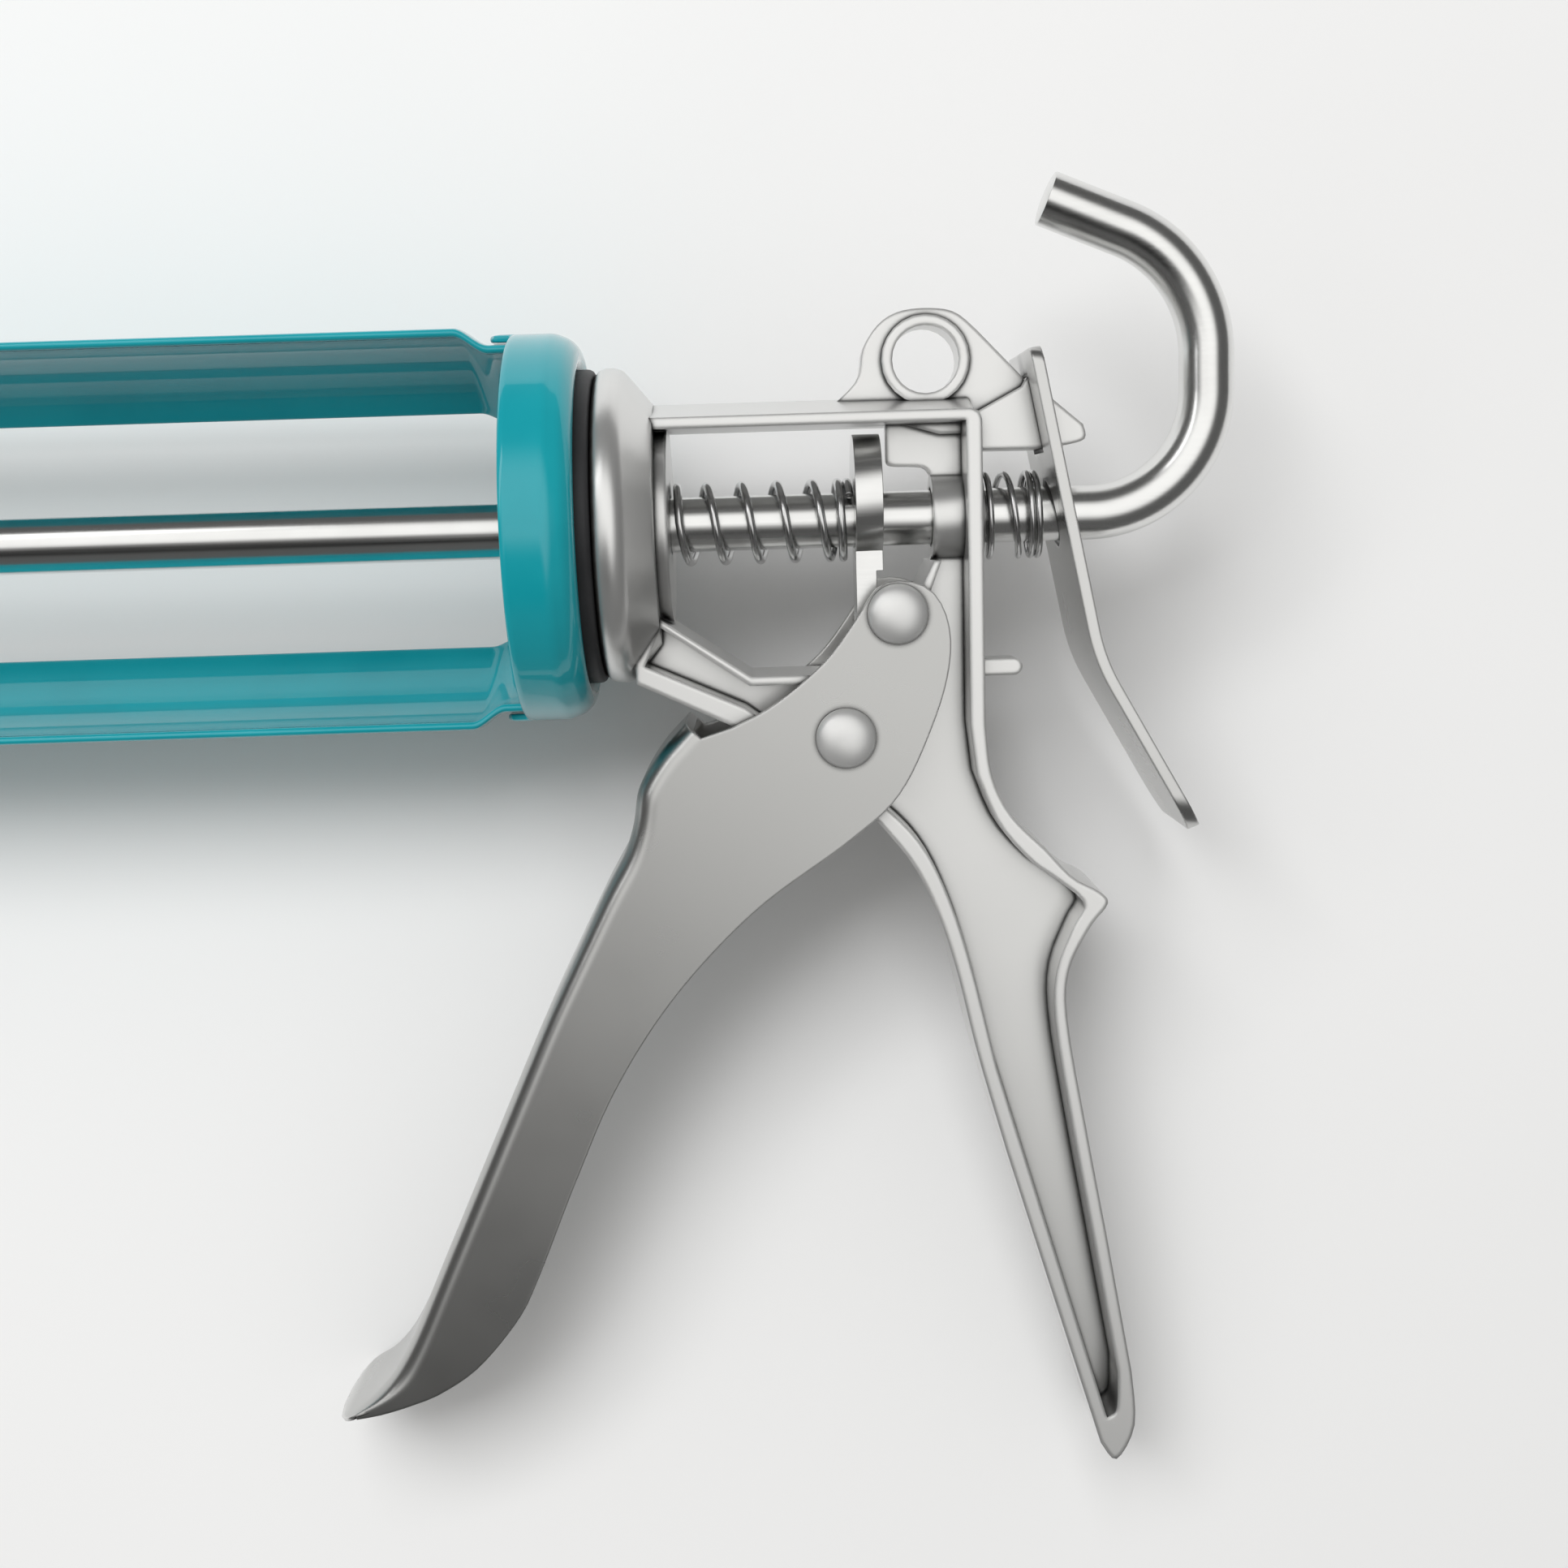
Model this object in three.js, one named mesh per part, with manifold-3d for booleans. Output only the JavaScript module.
// A skeleton-frame caulking gun for standard 310 ml cartridges, lying on its side.
// The gun is drawn in its own frame: +X runs back along the push rod to the hook, +Y up to the
// hanging lug, +Z out of the near side, with zero on the rod's axis at the front of the casting.
import * as THREE from "three";
import { mergeVertices } from "three/addons/utils/BufferGeometryUtils.js";
import Module from "manifold-3d";

const wasm = await Module();
wasm.setup();

// ---- Driving dimensions, in millimetres and radians ----
const CLEAR = 0.1; // running gap between pieces that touch in the real gun
const ROUND = 40; // sides of a large circle
const ROD_RADIUS = 4;
const ROD_BORE = ROD_RADIUS + 0.4;

const CARTRIDGE_SPACE = 223; // swivel nut to front plate: a 215 mm cartridge and the piston
const SHEET = 1.2; // cradle sheet thickness
const CAP_RADIUS = 28.2;
const CAP_RIM = -11.7; // front edge of the rear cap's skirt
const CAP_FLOOR = -3.6; // rear face of the sheet that the washer lies on
const NOZZLE_RADIUS = 10.5;
const RAIL_RADIUS = CAP_RADIUS + 1.1;
const NECK_RADIUS = CAP_RADIUS - SHEET - 0.2; // rails step in to fit inside the caps
const JOGGLE = [-19.5, -15.1]; // where a rail steps in behind the rear cap's rim

const FLANGE_RADIUS = CAP_RADIUS - 5.2; // inside the bead round the rear cap
const FLANGE_FACE = 0.2;
const PAD_FACE = 10.3; // rear face of the pad that the main spring stands on
const WINDOW_FRONT = PAD_FACE - 2.1; // inside the pad, so that the window runs up to its round edge
const SLEEVE_RADIUS = 11;
const SLEEVE_SHANK = SLEEVE_RADIUS - 3;
const SLEEVE_FRONT = -10.4;

const FRAME_HALF = 9.5; // half-width of the casting's rims
const WEB_HALF = 1.5;
const BEAM_TOP = 15.2;
const BEAM_UNDER = 13.6;
const WALL_REAR = 55.5;
const WALL_FRONT = 53.2;
const BOSS_RADIUS = ROD_RADIUS + 2.2;
const BOSS_FRONT = 48.6;
const LUG_CENTRE = [48.1, 22.7];
const BEAK_HALF = 4.4; // half-width of the beak that carries the release lever

const PIVOT = [34.8, -31.2]; // the trigger turns on this axis
const DRIVE_PIN_RADIUS = 2.2;
const PIVOT_PIN_RADIUS = 3;
const BUSH_RADIUS = PIVOT_PIN_RADIUS + 1.4;
const CHEEK_INNER = FRAME_HALF + 0.5;
const CHEEK_SHEET = 1.5;
const CHEEK_OUTER = CHEEK_INNER + CHEEK_SHEET;
const BEND_RADIUS = 3; // outer radius between the channel's front and its cheeks
const RIVET_HEAD = PIVOT_PIN_RADIUS + 1.35;
const RIVET_DOME = 1.9;

const PLATE_FRONT = 37.2; // drive plate
const PLATE_THICK = 4;
const TAIL_THICK = 3;
const DRIVE_PIN = [PLATE_FRONT + TAIL_THICK + 0.3 + DRIVE_PIN_RADIUS, -13.6];
const WINDOW_REAR = PLATE_FRONT + PLATE_THICK + 1; // the window's rear edge above the boss

const LEVER_TOP = [62.05, 23.2];
const LEVER_LEAN = THREE.MathUtils.degToRad(11);
const LEVER_FOOT_LEAN = THREE.MathUtils.degToRad(29);
const LEVER_STRAIGHT = 45.5;
const LEVER_FOOT = 28.5;
const LEVER_BEND = 9; // length of the strip that is bent
const LEVER_SHEET = 1.7;
const LEVER_HALF = 12.3;

const MAIN_COIL = ROD_RADIUS + 2.15; // outer radii of the springs
const RELEASE_COIL = ROD_RADIUS + 2.5;
const RELEASE_SPACE = [WALL_REAR + 0.6, LEVER_TOP[0] + (LEVER_TOP[1] - 6.5) * Math.tan(LEVER_LEAN)];

const HOOK_START = 72.2;
const HOOK_LOWER_RADIUS = 17.4;
const HOOK_UPPER_RADIUS = 19.5;
const HOOK_RISE = 5.3;
const HOOK_TURN = THREE.MathUtils.degToRad(67.6);
const HOOK_TIP = 12.6;

const PISTON_RADIUS = 22;
const PISTON_GAP = 9.4; // from the front plate to the piston with the rod pushed home

// ---- Solids: a closed geometry becomes a manifold so that it can be joined and cut ----
function solid(geometry) {
  const bare = geometry.clone();
  bare.deleteAttribute("normal");
  bare.deleteAttribute("uv");
  const merged = mergeVertices(bare, 1e-4);
  const triVerts = new Uint32Array(merged.index.array);
  const vertProperties = merged.attributes.position.array;
  const made = new wasm.Manifold(new wasm.Mesh({ numProp: 3, vertProperties, triVerts }));
  if (made.volume() > 0) return made;
  // A profile drawn the other way round gives faces that point in, so they are turned out.
  triVerts.reverse();
  return new wasm.Manifold(new wasm.Mesh({ numProp: 3, vertProperties, triVerts }));
}

function geometryOf(manifold) {
  const { numProp, vertProperties, triVerts } = manifold.getMesh();
  const points = [];
  for (let i = 0; i < vertProperties.length; i += numProp) {
    points.push(...vertProperties.subarray(i, i + 3));
  }
  const geometry = new THREE.BufferGeometry();
  geometry.setAttribute("position", new THREE.Float32BufferAttribute(points, 3));
  geometry.setIndex([...triVerts]);
  return geometry;
}

const join = (...parts) => parts.reduce((whole, part) => whole.add(part));
const cut = (whole, ...parts) => parts.reduce((left, part) => left.subtract(part), whole);

// A closed outline: a pair is a straight line's end, a list of pairs a smooth curve's points.
function outline(start, ...runs) {
  const shape = new THREE.Shape();
  shape.moveTo(...start);
  for (const run of runs) {
    if (Array.isArray(run[0])) {
      shape.splineThru(run.map(([x, y]) => new THREE.Vector2(x, y)));
    } else {
      shape.lineTo(...run);
    }
  }
  return shape;
}

// An outline drawn in X and Y, between two heights.
function slab(shape, low, high, curveSegments = 3) {
  const depth = high - low;
  const made = new THREE.ExtrudeGeometry(shape, { depth, bevelEnabled: false, curveSegments });
  return solid(made.translate(0, 0, low));
}

const evenSlab = (shape, half, segments) => slab(shape, -half, half, segments);

function box(low, high) {
  const size = high.map((value, i) => value - low[i]);
  const middle = high.map((value, i) => (value + low[i]) / 2);
  return solid(new THREE.BoxGeometry(...size).translate(...middle));
}

// A turned piece about X: the profile is a closed loop of [x, radius].
function turned(profile, sides = ROUND) {
  const loop = [...profile, profile[0]].map(([x, r]) => new THREE.Vector2(r, x));
  return solid(new THREE.LatheGeometry(loop, sides).rotateZ(-Math.PI / 2));
}

// A disc or bar about X, and one about Z at a point of the side view.
const bar = (from, to, radius, sides = ROUND) =>
  solid(
    new THREE.CylinderGeometry(radius, radius, to - from, sides)
      .rotateZ(-Math.PI / 2)
      .translate((from + to) / 2, 0, 0),
  );
const pin = ([x, y], half, radius, sides = 24) =>
  solid(
    new THREE.CylinderGeometry(radius, radius, 2 * half, sides)
      .rotateX(Math.PI / 2)
      .translate(x, y, 0),
  );

// ---- Materials ----
const material = (color, roughness, metalness) =>
  new THREE.MeshStandardMaterial({ color, roughness, metalness });
const PAINT = material(0x058a98, 0.28, 0);
const CASTING = material(0xb9bdbd, 0.42, 1);
const STAMPED = material(0xb4b8b9, 0.36, 1);
const STEEL = material(0xc8cacb, 0.24, 1);
const RUBBER = material(0x0b0b0c, 0.6, 0);

const gun = new THREE.Group();

function place(name, manifold, look, parent = gun) {
  const mesh = new THREE.Mesh(geometryOf(manifold), look);
  mesh.name = name;
  parent.add(mesh);
  return mesh;
}

// ---- The casting ----
// The side view's outline, from the top beam round the wall, the grip and the front strut.
const frameOutline = outline(
  [8, BEAM_TOP],
  [53.8, BEAM_TOP],
  [
    [55, 14.8],
    [WALL_REAR, 13.6],
  ],
  [55.2, -30],
  [
    [56, -37.6],
    [58.8, -43.6],
    [63.8, -48.8],
  ],
  [
    [67.7, -53.1],
    [71.5, -55.3],
    [72.7, -57.2],
    [70, -60.7],
    [66.8, -67.2],
    [66.6, -75],
    [69.1, -90.9],
    [71.9, -107.1],
  ],
  [75.6, -129.5],
  [
    [76, -138],
    [73.2, -143.4],
    [70.8, -140.7],
  ],
  [57.2, -94.3],
  [
    [53.1, -79],
    [50.4, -66.9],
    [47.7, -57.9],
    [44.2, -50.4],
    [39.3, -44],
  ],
  [
    [30, -36.8],
    [18.6, -29.2],
  ],
  [4.8, -22.6],
  [4.8, -16],
  [8, -12],
);

// The open window that the spring and the drive plate work in.
const windowOutline = outline(
  [WINDOW_FRONT, BEAM_UNDER],
  [WINDOW_FRONT, -13.2],
  [21.5, -22.1],
  [40, -22.1],
  [
    [44.6, -20.4],
    [46.4, -16],
  ],
  [46.4, -10],
  [BOSS_FRONT, 0.6 - BOSS_RADIUS],
  [BOSS_FRONT, BOSS_RADIUS - 0.1],
  [
    [47.4, 7.3],
    [WINDOW_REAR + 0.8, 7.6],
    [WINDOW_REAR, 8.4],
  ],
  [WINDOW_REAR, BEAM_UNDER],
);

// The pocket on each side, which leaves the web between the two rims.
const gripPocket = outline(
  [WALL_FRONT, -5],
  [49.4, -6],
  [47.7, -10.4],
  [47.7, -16.4],
  [
    [45.4, -21.6],
    [40, -23.4],
  ],
  [21.2, -23.4],
  [8.6, -14.6],
  [6.1, -20.1],
  [20.5, -26.6],
  [
    [31, -34.4],
    [40.7, -42.1],
    [45.9, -48],
    [49.5, -55.9],
    [52.5, -66],
    [55.9, -81.1],
  ],
  [71.8, -136.7],
  [
    [73.3, -135.4],
    [73.5, -129.6],
  ],
  [69.8, -107.2],
  [
    [67.1, -91.2],
    [64.8, -75.4],
    [65, -67.3],
    [67.6, -60.6],
    [69.2, -57],
    [65.2, -53.3],
    [61.4, -50.4],
    [56.8, -44.8],
    [53.8, -37.4],
  ],
  [53, -30],
);
const cornerPocket = outline([41, -6.2], [WALL_FRONT, -6.2], [WALL_FRONT, BEAM_UNDER], [41, BEAM_UNDER]);

// The hanging lug is a thin plate; the beak behind it carries the release lever.
const lugOutline = outline(
  [34.6, 16.6],
  [
    [38.2, 20.2],
    [39.1, 24.5],
    [41.5, 28],
    [44.7, 29.7],
    [49.2, 30],
    [52.8, 29.2],
    [55.9, 26.5],
  ],
  [61.2, 20.9],
  [62.4, 19.6],
  [62.4, 12],
  [50, 12],
);
const beakOutline = outline(
  [54.6, 9.5],
  [63.7, 9.4],
  [
    [67.9, 9.8],
    [70.9, 10.6],
    [70.7, 12.7],
  ],
  [62.6, 19.6],
  [61.9, 18.4],
  [54.6, 14.6],
);

function flange() {
  return turned([
    [FLANGE_FACE, SLEEVE_SHANK + CLEAR],
    [6, SLEEVE_SHANK + CLEAR],
    [6, ROD_BORE],
    [PAD_FACE, ROD_BORE],
    [PAD_FACE, 14.2],
    [8.5, 14.2],
    [8.4, FLANGE_RADIUS - 5.5],
    [4.8, FLANGE_RADIUS - 1.1],
    [4.1, FLANGE_RADIUS - 0.4],
    [3, FLANGE_RADIUS],
    [1.8, FLANGE_RADIUS],
    [0.8, FLANGE_RADIUS - 0.4],
    [FLANGE_FACE, FLANGE_RADIUS - 1.2],
  ]);
}

// The beam's outer side falls away from the middle of the casting to each rim.
function beamCrown() {
  const roof = outline(
    [-FRAME_HALF, BEAM_TOP - 0.4],
    [FRAME_HALF, BEAM_TOP - 0.4],
    [FRAME_HALF, BEAM_TOP],
    [WEB_HALF, 17.4],
    [-WEB_HALF, 17.4],
    [-FRAME_HALF, BEAM_TOP],
  );
  const made = new THREE.ExtrudeGeometry(roof, { depth: 46, bevelEnabled: false });
  return solid(made.rotateY(Math.PI / 2).translate(8.2, 0, 0));
}

function stopPeg() {
  const shape = new THREE.Shape();
  shape.moveTo(54.5, -23.5);
  shape.lineTo(60.3, -23.5);
  shape.absarc(60.3, -22.25, 1.25, -Math.PI / 2, Math.PI / 2);
  shape.lineTo(54.5, -21);
  return evenSlab(shape, 3, 6);
}

function casting() {
  const frame = cut(
    evenSlab(frameOutline, FRAME_HALF),
    evenSlab(windowOutline, FRAME_HALF + 1),
    slab(gripPocket, WEB_HALF, FRAME_HALF + 1),
    slab(gripPocket, -FRAME_HALF - 1, -WEB_HALF),
    slab(cornerPocket, WEB_HALF, FRAME_HALF + 1),
    slab(cornerPocket, -FRAME_HALF - 1, -WEB_HALF),
  );
  const whole = join(
    frame,
    beamCrown(),
    flange(),
    bar(BOSS_FRONT, WALL_REAR + 0.6, BOSS_RADIUS, 32),
    pin(PIVOT, FRAME_HALF, BUSH_RADIUS + 2.2),
    evenSlab(lugOutline, 2.6),
    pin(LUG_CENTRE, 3.6, 6.4),
    evenSlab(beakOutline, BEAK_HALF),
    stopPeg(),
  );
  return cut(
    whole,
    bar(8, WALL_REAR + 2, ROD_BORE, 32),
    pin(PIVOT, FRAME_HALF + 1, BUSH_RADIUS + CLEAR),
    pin(LUG_CENTRE, 5, 4.85),
  );
}

// ---- The swivel that the cradle turns on ----
function swivelSleeve() {
  return turned([
    [SLEEVE_FRONT, ROD_BORE],
    [5.8, ROD_BORE],
    [5.8, SLEEVE_SHANK],
    [0.1, SLEEVE_SHANK],
    [0.1, SLEEVE_RADIUS],
    [SLEEVE_FRONT + 0.6, SLEEVE_RADIUS],
    [SLEEVE_FRONT, SLEEVE_RADIUS - 0.6],
  ]);
}

const BORE = SLEEVE_RADIUS + CLEAR;
const NUT_RADIUS = SLEEVE_RADIUS + 5.5;

function swivelWasher() {
  const front = CAP_FLOOR + CLEAR;
  const back = 0.1;
  return turned([
    [front, BORE],
    [back, BORE],
    [back, FLANGE_RADIUS - 0.6],
    [back - 0.5, FLANGE_RADIUS - 0.1],
    [front + 0.5, FLANGE_RADIUS - 0.1],
    [front, FLANGE_RADIUS - 0.6],
  ]);
}

function thrustWasher() {
  const back = CAP_FLOOR - SHEET - CLEAR;
  return turned([
    [back - 1.2, BORE],
    [back, BORE],
    [back, NUT_RADIUS + 0.5],
    [back - 1.2, NUT_RADIUS + 0.5],
  ]);
}

function swivelNut() {
  const back = CAP_FLOOR - SHEET - 1.2 - 2 * CLEAR;
  const hexagon = bar(back - 3.6, back, NUT_RADIUS, 6);
  return cut(hexagon, bar(back - 5, back + 1, BORE));
}

// ---- The cradle ----
function rearCap() {
  const inner = CAP_RADIUS - SHEET;
  const skirt = turned([
    [CAP_FLOOR - SHEET, BORE + 0.2],
    [CAP_FLOOR, BORE + 0.2],
    [CAP_FLOOR, CAP_RADIUS - 5.1],
    [-2.1, CAP_RADIUS - 4.5],
    [-1.7, CAP_RADIUS - 3.5],
    [-2.1, CAP_RADIUS - 2.1],
    [-3.2, CAP_RADIUS - 0.8],
    [-5.2, CAP_RADIUS],
    [CAP_RIM, CAP_RADIUS],
    [CAP_RIM, inner],
    [-5.6, inner],
    [-4.2, inner - 0.7],
    [-3.2, inner - 1.8],
    [CAP_FLOOR - SHEET, inner - 2.9],
  ]);
  const tab = turned([
    [CAP_RIM - 3.2, inner],
    [CAP_RIM + 0.5, inner],
    [CAP_RIM + 0.5, CAP_RADIUS - 0.2],
    [CAP_RIM - 3.2, CAP_RADIUS - 0.2],
  ]);
  const tabWidth = box([-20, -40, -5.5], [0, 40, 2]);
  return skirt.add(tab.intersect(tabWidth));
}

const NUT_FACE = CAP_FLOOR - SHEET - 4.8 - 2 * CLEAR;
const FRONT_PLATE = NUT_FACE - CARTRIDGE_SPACE; // inner face of the front cap's plate
const FRONT_SKIRT = FRONT_PLATE + 9;
const PISTON_FACE = FRONT_PLATE + PISTON_GAP;

// The front cap has an open slot for the nozzle, and its skirt is cut away on the loading side.
function frontCap() {
  const cup = turned([
    [FRONT_PLATE - SHEET, NOZZLE_RADIUS - 2],
    [FRONT_PLATE, NOZZLE_RADIUS - 2],
    [FRONT_PLATE, CAP_RADIUS - SHEET],
    [FRONT_SKIRT, CAP_RADIUS - SHEET],
    [FRONT_SKIRT, CAP_RADIUS],
    [FRONT_PLATE + 0.6, CAP_RADIUS],
    [FRONT_PLATE - 0.8, CAP_RADIUS - 0.8],
    [FRONT_PLATE - SHEET, CAP_RADIUS - 2],
  ]);
  const loading = box([FRONT_PLATE, -40, 6], [FRONT_SKIRT + 1, 40, 40]);
  const nozzle = bar(FRONT_PLATE - 5, FRONT_PLATE + 5, NOZZLE_RADIUS, 32);
  const slot = box([FRONT_PLATE - 5, -NOZZLE_RADIUS, 0], [FRONT_PLATE + 5, NOZZLE_RADIUS, 40]);
  return cut(cup, loading, nozzle, slot);
}

// A rail is a sector of a turned sheet that steps in at both ends, to go inside the caps.
// Angles go round the rod's axis from +Y towards the far side.
function rail(from, to) {
  const front = FRONT_PLATE + 0.3;
  const back = CAP_FLOOR - SHEET - 1;
  const frontJoggle = [FRONT_SKIRT + 3.4, FRONT_SKIRT + 7.8];
  const outside = [
    [back, NECK_RADIUS],
    [JOGGLE[1], NECK_RADIUS],
    [JOGGLE[0], RAIL_RADIUS],
    [frontJoggle[1], RAIL_RADIUS],
    [frontJoggle[0], NECK_RADIUS],
    [front, NECK_RADIUS],
  ];
  const inside = outside.map(([x, r]) => [x, r - SHEET]).reverse();
  const reach = 60;
  const steps = 4;
  const wedge = new THREE.Shape();
  wedge.moveTo(0, 0);
  for (let i = 0; i <= steps; i++) {
    const angle = from + ((to - from) * i) / steps;
    wedge.lineTo(reach * Math.sin(angle), reach * Math.cos(angle));
  }
  const depth = back - front + 2;
  const prism = new THREE.ExtrudeGeometry(wedge, { depth, bevelEnabled: false });
  const sector = solid(prism.rotateY(Math.PI / 2).translate(front - 1, 0, 0));
  return turned([...inside, ...outside], 80).intersect(sector);
}

// ---- The rod and the piston ----
// The rod's centre line, straight to the hook and then round its two bends.
function rodLine() {
  const arc = ([x, y], radius, turn) => {
    const steps = 10;
    const from = turn[0];
    const step = (turn[1] - turn[0]) / steps;
    return Array.from({ length: steps + 1 }, (_, i) => {
      const angle = from + step * i;
      return new THREE.Vector3(x + radius * Math.cos(angle), y + radius * Math.sin(angle), 0);
    });
  };
  const backOfHook = HOOK_START + HOOK_LOWER_RADIUS;
  const upperCentre = [backOfHook - HOOK_UPPER_RADIUS, HOOK_LOWER_RADIUS + HOOK_RISE];
  const lower = arc([HOOK_START, HOOK_LOWER_RADIUS], HOOK_LOWER_RADIUS, [-Math.PI / 2, 0]);
  const upper = arc(upperCentre, HOOK_UPPER_RADIUS, [0, HOOK_TURN]);
  const end = upper.at(-1).clone();
  end.x -= HOOK_TIP * Math.sin(HOOK_TURN);
  end.y += HOOK_TIP * Math.cos(HOOK_TURN);
  return [new THREE.Vector3(PISTON_FACE - 4.5, 0, 0), ...lower, ...upper, end];
}

// Rings of a round section at each corner of a flat path, joined into one closed skin.
function roundBar(points, radius, sides = 20) {
  const positions = [];
  const faces = [];
  points.forEach((point, i) => {
    const before = points[Math.max(i - 1, 0)];
    const after = points[Math.min(i + 1, points.length - 1)];
    const along = after.clone().sub(before).normalize();
    const across = new THREE.Vector3(-along.y, along.x, 0);
    for (let k = 0; k < sides; k++) {
      const angle = (2 * Math.PI * k) / sides;
      const reach = radius * Math.cos(angle);
      positions.push(
        point.x + reach * across.x,
        point.y + reach * across.y,
        point.z + radius * Math.sin(angle),
      );
    }
  });
  for (let i = 0; i + 1 < points.length; i++) {
    for (let k = 0; k < sides; k++) {
      const a = i * sides + k;
      const b = i * sides + ((k + 1) % sides);
      faces.push(a, b, a + sides, b, b + sides, a + sides);
    }
  }
  const last = (points.length - 1) * sides;
  for (let k = 1; k + 1 < sides; k++) {
    faces.push(0, k + 1, k, last, last + k, last + k + 1);
  }
  const geometry = new THREE.BufferGeometry();
  geometry.setAttribute("position", new THREE.Float32BufferAttribute(positions, 3));
  geometry.setIndex(faces);
  return solid(geometry);
}

// The piston is a dished disc with a turned-back rim, clamped between a washer and a nut.
function pistonDisc() {
  return turned([
    [PISTON_FACE, ROD_RADIUS + CLEAR],
    [PISTON_FACE + 1.6, ROD_RADIUS + CLEAR],
    [PISTON_FACE + 1.6, PISTON_RADIUS - 2.4],
    [PISTON_FACE + 2.4, PISTON_RADIUS - 1.6],
    [PISTON_FACE + 5.2, PISTON_RADIUS - 1.6],
    [PISTON_FACE + 5.2, PISTON_RADIUS],
    [PISTON_FACE + 1.6, PISTON_RADIUS],
    [PISTON_FACE + 0.4, PISTON_RADIUS - 0.8],
    [PISTON_FACE, PISTON_RADIUS - 2],
  ]);
}

function pistonWasher() {
  const front = PISTON_FACE + 1.6 + CLEAR;
  return turned([
    [front, ROD_RADIUS + CLEAR],
    [front + 1.8, ROD_RADIUS + CLEAR],
    [front + 1.8, ROD_RADIUS + 4.6],
    [front, ROD_RADIUS + 5],
  ], 32);
}

function pistonNut() {
  const back = PISTON_FACE - CLEAR;
  return cut(bar(back - 3.6, back, ROD_RADIUS + 3.2, 6), bar(back - 5, back + 1, ROD_RADIUS + CLEAR, 32));
}

// ---- The drive ----
function drivePlate() {
  const shape = new THREE.Shape();
  const head = ROD_BORE + 4.8;
  const headCentre = 3.2;
  const tail = 5;
  const neck = Math.sqrt(head * head - tail * tail);
  const start = Math.atan2(-neck, tail);
  shape.moveTo(-tail, -17);
  shape.lineTo(tail, -17);
  shape.absarc(0, headCentre, head, start, Math.PI - start);
  const made = new THREE.ExtrudeGeometry(shape, {
    depth: PLATE_THICK,
    bevelEnabled: false,
    curveSegments: 16,
  });
  const plate = solid(made.rotateY(Math.PI / 2).translate(PLATE_FRONT, 0, 0));
  return cut(
    plate,
    bar(PLATE_FRONT - 1, PLATE_FRONT + PLATE_THICK + 2, ROD_BORE, 32),
    box([PLATE_FRONT + TAIL_THICK, -20, -10], [PLATE_FRONT + PLATE_THICK + 2, -7.5, 10]),
  );
}

// A wire spring about the rod: each entry of turns is [number of turns, pitch].
class CoilCurve extends THREE.Curve {
  constructor(start, radius, turns, phase) {
    super();
    this.start = start;
    this.radius = radius;
    this.turns = turns;
    this.phase = phase;
    this.total = turns.reduce((sum, [count]) => sum + count, 0);
  }

  getPoint(t, target = new THREE.Vector3()) {
    let left = t * this.total;
    const angle = 2 * Math.PI * (left + this.phase);
    let x = this.start;
    for (const [count, pitch] of this.turns) {
      const part = Math.min(left, count);
      x += part * pitch;
      left -= part;
    }
    return target.set(x, this.radius * Math.cos(angle), this.radius * Math.sin(angle));
  }
}

// The end turns lie wire to wire, and the open turns fill the rest of the space.
// The phase is the turn at which the wire starts, from the top.
function spring([from, to], outerRadius, wire, [firstTurns, openTurns, lastTurns], phase) {
  const closed = wire * 1.1;
  const length = to - from - wire - 2 * CLEAR;
  const pitch = (length - (firstTurns + lastTurns) * closed) / openTurns;
  const turns = [
    [firstTurns, closed],
    [openTurns, pitch],
    [lastTurns, closed],
  ];
  const curve = new CoilCurve(from + wire / 2 + CLEAR, outerRadius - wire / 2, turns, phase);
  const section = new THREE.Shape().absarc(0, 0, wire / 2, 0, 2 * Math.PI);
  const made = new THREE.ExtrudeGeometry(section, {
    steps: Math.round(curve.total * 14),
    curveSegments: 4,
    extrudePath: curve,
  });
  return solid(made);
}

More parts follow.
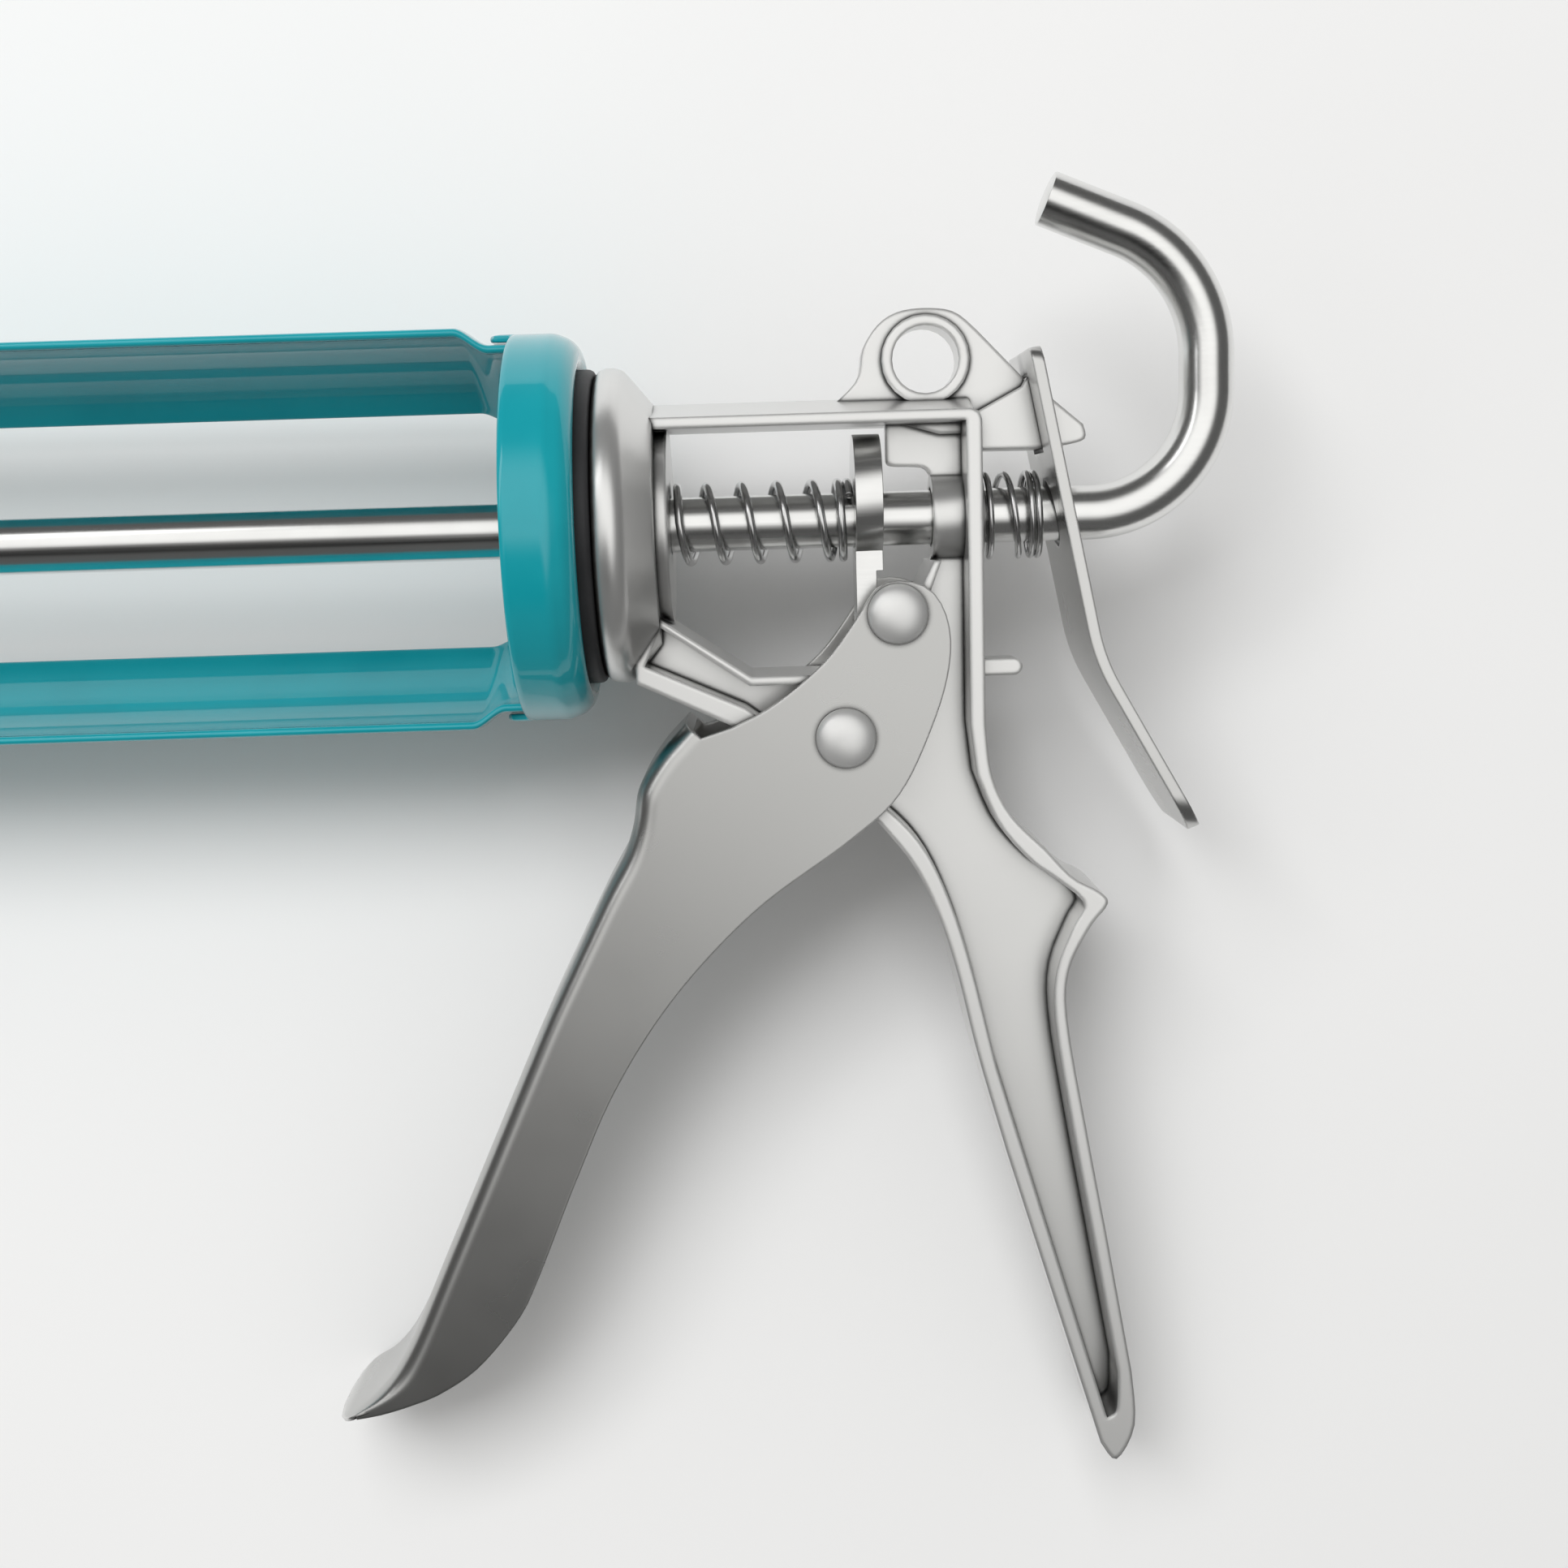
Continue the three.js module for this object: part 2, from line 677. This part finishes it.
// ---- The release lever, a bent strip ----
function releaseLever() {
  // Down the front face: straight, round the bend in even steps, and straight again to the foot.
  const bendSteps = 6;
  const bendStep = LEVER_BEND / bendSteps;
  const leans = Array.from({ length: bendSteps }, (_, i) =>
    THREE.MathUtils.lerp(LEVER_LEAN, LEVER_FOOT_LEAN, (i + 0.5) / bendSteps),
  );
  const runs = [
    [LEVER_LEAN, LEVER_STRAIGHT - LEVER_BEND / 2],
    ...leans.map((lean) => [lean, bendStep]),
    [LEVER_FOOT_LEAN, LEVER_FOOT - LEVER_BEND / 2],
  ];
  const [x, y] = LEVER_TOP;
  const face = [[x, y]];
  for (const [lean, length] of runs) {
    const [px, py] = face.at(-1);
    face.push([px + length * Math.sin(lean), py - length * Math.cos(lean)]);
  }
  const shape = outline(...face, ...movedIn(face, -LEVER_SHEET).reverse());
  const foot = face.at(-1);
  // Seen along X, the strip has round corners, larger at the foot.
  const lowCorner = 6.5;
  const topCorner = 2.5;
  const low = foot[1] - 1;
  const high = y + 0.4;
  const plan = new THREE.Shape();
  plan.moveTo(-LEVER_HALF, low + lowCorner);
  plan.absarc(-LEVER_HALF + lowCorner, low + lowCorner, lowCorner, Math.PI, 1.5 * Math.PI);
  plan.absarc(LEVER_HALF - lowCorner, low + lowCorner, lowCorner, -0.5 * Math.PI, 0);
  plan.absarc(LEVER_HALF - topCorner, high - topCorner, topCorner, 0, 0.5 * Math.PI);
  plan.absarc(-LEVER_HALF + topCorner, high - topCorner, topCorner, 0.5 * Math.PI, Math.PI);
  const made = new THREE.ExtrudeGeometry(plan, {
    depth: 40,
    bevelEnabled: false,
    curveSegments: 6,
  });
  const window = solid(made.rotateY(Math.PI / 2).translate(55, 0, 0));
  return cut(
    evenSlab(shape, LEVER_HALF).intersect(window),
    box([58, 8.8, -BEAK_HALF - 0.5], [72, 20.2, BEAK_HALF + 0.5]),
    bar(60, 75, ROD_BORE + 0.5, 32),
  );
}

// ---- The trigger, a stamped channel that straddles the casting ----
// A line moved to its right by a depth, corner by corner.
function movedIn(line, depth) {
  const normal = ([ax, ay], [bx, by]) => new THREE.Vector2(by - ay, ax - bx).normalize();
  return line.map(([x, y], i) => {
    const before = normal(line[Math.max(i - 1, 0)], line[Math.max(i, 1)]);
    const after = normal(line[Math.min(i, line.length - 2)], line[Math.min(i + 1, line.length - 1)]);
    const reach = depth / (1 + before.dot(after));
    return [x + reach * (before.x + after.x), y + reach * (before.y + after.y)];
  });
}

// The channel's front in the side view, from the toe to the lip, a depth inside its outer face.
function triggerFront(depth) {
  const line = [
    [-45.2, -134],
    [-42.4, -132],
    [-39.2, -129.4],
    [-36.3, -126],
    [-34, -122.2],
    [-32.1, -118.4],
    [-28.1, -109.5],
    [-10.7, -71.3],
    [-1.1, -52.7],
    [2.2, -47.2],
    [3.7, -42.7],
    [4.2, -38],
    [7.3, -33],
    [11.7, -28.5],
  ];
  return movedIn(line, depth);
}

// The side view's outline, behind a front line.
function triggerSide(front) {
  return outline(
    ...front,
    [
      [17.4, -29.4],
      [24.4, -26.2],
      [31.8, -20.4],
      [36.6, -14.4],
      [39.6, -10],
      [43, -8.8],
      [47.5, -10.3],
      [49.9, -14.8],
      [50, -21],
      [47.6, -29.2],
      [42.4, -39.6],
      [34.9, -46.3],
      [20.9, -56.2],
      [8.8, -68.5],
      [-0.4, -82],
    ],
    [-13.2, -110.6],
    [
      [-16.6, -117.1],
      [-22.8, -124.3],
      [-28.6, -128.2],
      [-34, -130.5],
      [-39.5, -131.2],
    ],
  );
}

// The front is bent round into the cheeks. It runs on past both ends, to be trimmed by the side view.
function triggerNose() {
  const outer = triggerFront(BEND_RADIUS);
  const inner = triggerFront(3 * BEND_RADIUS).reverse();
  const pastToe = ([x, y]) => [x - 4, y - 5];
  const pastLip = ([x, y]) => [x + 4, y + 5];
  const band = outline(
    pastToe(outer[0]),
    ...outer,
    pastLip(outer.at(-1)),
    pastLip(inner[0]),
    ...inner,
    pastToe(inner.at(-1)),
  );
  const made = new THREE.ExtrudeGeometry(band, {
    depth: 2 * (CHEEK_OUTER - BEND_RADIUS),
    bevelThickness: BEND_RADIUS,
    bevelSize: BEND_RADIUS,
    bevelSegments: 4,
  });
  return solid(made.translate(0, 0, BEND_RADIUS - CHEEK_OUTER));
}

function triggerChannel() {
  const front = triggerFront(CHEEK_SHEET);
  const hollow = outline([-55, -145], ...front, [14, 5], [70, 5], [70, -145]);
  const cheeks = triggerSide(triggerFront(BEND_RADIUS).slice(3));
  const whole = join(triggerNose(), evenSlab(cheeks, CHEEK_OUTER));
  return cut(
    whole.intersect(evenSlab(triggerSide(triggerFront(0)), CHEEK_OUTER + 1)),
    evenSlab(hollow, CHEEK_INNER),
    pin(PIVOT, CHEEK_OUTER + 1, PIVOT_PIN_RADIUS + CLEAR),
    pin(DRIVE_PIN, CHEEK_OUTER + 1, DRIVE_PIN_RADIUS + CLEAR),
  );
}

// A rivet across the trigger, with a domed head outside each cheek.
function rivet([x, y], shank) {
  const face = CHEEK_OUTER + CLEAR;
  const dome = [0, 0.25, 0.5, 0.75, 1].map((part) => [
    face + RIVET_DOME * Math.sin((part * Math.PI) / 2),
    RIVET_HEAD * Math.cos((part * Math.PI) / 2),
  ]);
  dome[4][1] = 0;
  const half = [[face, shank], ...dome];
  const other = half.map(([z, r]) => [-z, r]).reverse();
  const profile = [...other, ...half].map(([z, r]) => new THREE.Vector2(r, z));
  return solid(new THREE.LatheGeometry(profile, 24).rotateX(Math.PI / 2).translate(x, y, 0));
}

function pivotBush() {
  const half = CHEEK_INNER - CLEAR;
  return cut(pin(PIVOT, half, BUSH_RADIUS), pin(PIVOT, half + 1, PIVOT_PIN_RADIUS + CLEAR));
}

// ---- The whole gun ----
const degrees = THREE.MathUtils.degToRad;
place("body_casting", casting(), CASTING);
place("swivel_sleeve", swivelSleeve(), STEEL);
place("swivel_washer", swivelWasher(), RUBBER);
place("thrust_washer", thrustWasher(), STEEL);
place("swivel_nut", swivelNut(), STEEL);
place("cradle_rear_cap", rearCap(), PAINT);
place("cradle_front_cap", frontCap(), PAINT);
place("cradle_top_rail", rail(degrees(-10), degrees(50)), PAINT);
place("cradle_bottom_rail", rail(degrees(130), degrees(190)), PAINT);
place("cradle_back_rail", rail(degrees(86), degrees(98)), PAINT);
place("push_rod", roundBar(rodLine(), ROD_RADIUS), STEEL);
place("piston_disc", pistonDisc(), STAMPED);
place("piston_washer", pistonWasher(), STEEL);
place("piston_nut", pistonNut(), STEEL);
place("drive_plate", drivePlate(), STEEL);
place("main_spring", spring([PAD_FACE, PLATE_FRONT], MAIN_COIL, 1.25, [0.5, 4.4, 1.5], -0.26), STEEL);
place("release_spring", spring(RELEASE_SPACE, RELEASE_COIL, 0.95, [0.5, 1.2, 2.2], 0), STEEL);
place("release_lever", releaseLever(), STAMPED);
place("trigger_channel", triggerChannel(), STAMPED);
place("pivot_rivet", rivet(PIVOT, PIVOT_PIN_RADIUS), STEEL);
place("pivot_bush", pivotBush(), STEEL);
place("drive_pin", rivet(DRIVE_PIN, DRIVE_PIN_RADIUS), STEEL);

// The gun lies on its side: zero is under the middle of its box, on the floor.
const reach = new THREE.Box3().setFromObject(gun);
const middle = reach.getCenter(new THREE.Vector3());
gun.position.set(-middle.x, -middle.y, -reach.min.z);

export default gun;
